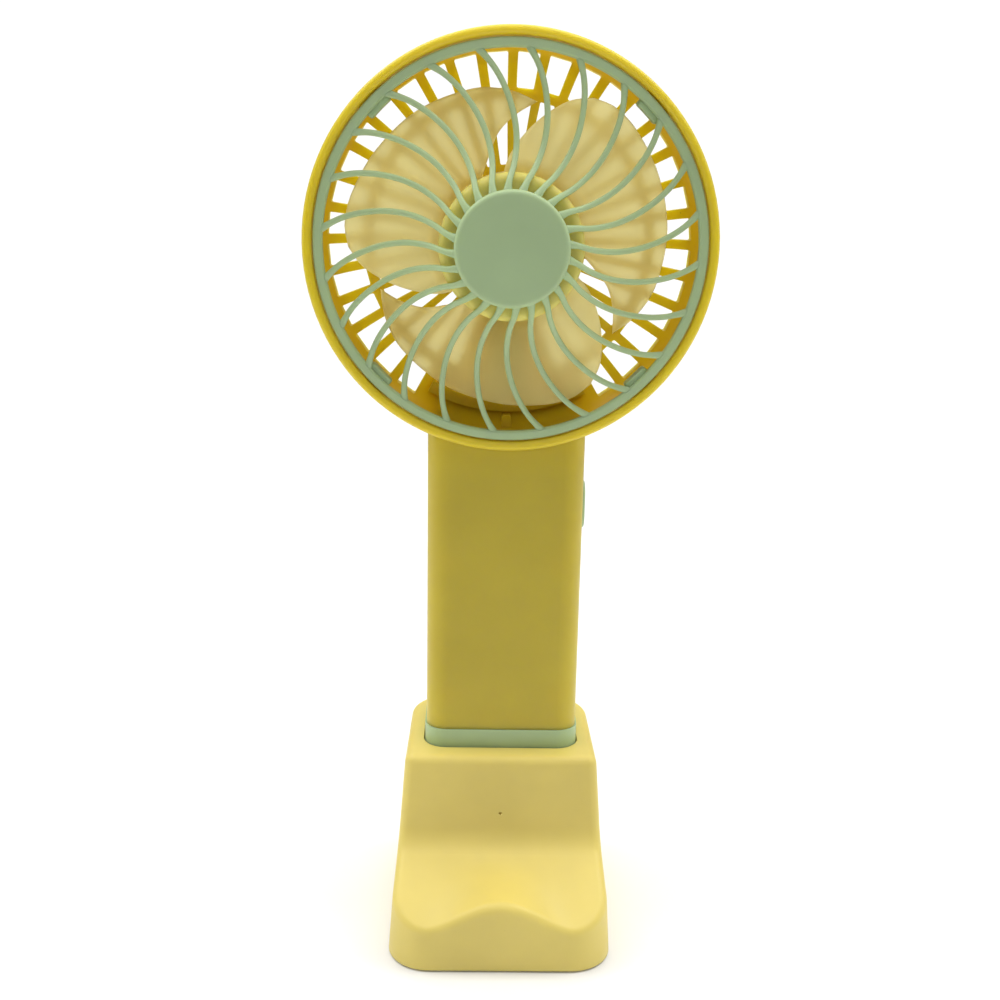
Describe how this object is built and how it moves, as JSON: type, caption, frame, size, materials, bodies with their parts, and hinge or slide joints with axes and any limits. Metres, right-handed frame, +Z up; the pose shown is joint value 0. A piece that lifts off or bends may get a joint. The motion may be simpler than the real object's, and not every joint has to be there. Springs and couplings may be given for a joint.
{
  "type": "handheld electric fan",
  "caption": "Round-headed handheld fan with a swirl-spoke grille and sickle blades, standing upright in a dock with a ledge for a phone.",
  "frame": {"origin": "on the table, under the middle of the object's bounding box", "axes": "+Z up along the handle, -Y towards the user (the way the air blows), +X to the right seen from the front, the side with the power button"},
  "size_m": [0.0984, 0.0666, 0.2244],
  "materials": {
    "dock_plastic": "satin moulded, pale butter yellow",
    "yellow_plastic": "satin moulded, slightly translucent yellow",
    "mint_plastic": "satin moulded mint green",
    "blade_plastic": "frosted translucent cream",
    "foot_rubber": "soft matt",
    "screw_steel": "zinc plated",
    "shaft_steel": "ground",
    "motor_steel": "nickel plated",
    "magnet_steel": "dark sintered",
    "copper_wire": "enamelled copper",
    "brass_contact": "plain",
    "black_plastic": "moulded",
    "clear_plastic": "clear",
    "board_green": "solder mask",
    "board_parts": "ceramic",
    "battery_wrap": null,
    "red_wire": "insulation",
    "black_wire": "insulation"
  },
  "bodies": {
    "dock": {"dock_shell": "dock_plastic", "dock_base_plate": "dock_plastic", "dock_feet": "foot_rubber", "dock_screws": "screw_steel"},
    "fan": {"front_shell": "yellow_plastic", "rear_shell": "yellow_plastic", "wire_channel_cover": "yellow_plastic", "handle_end_cap": "mint_plastic", "shell_screws": "screw_steel", "motor_can": "motor_steel", "motor_end_bell": "black_plastic", "front_bush": "brass_contact", "rear_bush": "brass_contact", "motor_magnets": "magnet_steel", "motor_brushes": "brass_contact", "motor_terminals": "brass_contact", "battery_cell": "battery_wrap", "battery_cap": "motor_steel", "battery_tabs": "motor_steel", "battery_pad": "foot_rubber", "circuit_board": "board_green", "usb_socket": "motor_steel", "control_chips": "black_plastic", "boost_coil": "magnet_steel", "board_passives": "board_parts", "charge_led": "board_parts", "led_light_pipe": "clear_plastic", "switch_housing": "black_plastic", "motor_lead_red": "red_wire", "motor_lead_black": "black_wire", "battery_lead_red": "red_wire", "battery_lead_black": "black_wire"},
    "rotor": {"fan_rotor": "blade_plastic", "motor_shaft": "shaft_steel", "armature_core": "magnet_steel", "armature_windings": "copper_wire", "commutator": "brass_contact"},
    "power_button": {"power_button": "mint_plastic", "switch_plunger": "black_plastic"},
    "grille": {"front_grille": "mint_plastic"}
  },
  "joints": [
    {"name": "fan_lift", "type": "slide", "parent": "dock", "child": "fan", "axis": [0, 0, 1], "range_m": [0, 0.03]},
    {"name": "rotor_spin", "type": "hinge", "parent": "fan", "child": "rotor", "pos_m": [0, -0.0038, 0.1752], "axis": [0, -1, 0], "continuous": true},
    {"name": "grille_twist", "type": "hinge", "parent": "fan", "child": "grille", "pos_m": [0, -0.0038, 0.1752], "axis": [0, -1, 0], "range_deg": [0, 12]},
    {"name": "button_press", "type": "slide", "parent": "fan", "child": "power_button", "axis": [-1, 0, 0], "range_m": [0, 0.0005], "stiffness_N_per_m": 800}
  ]
}
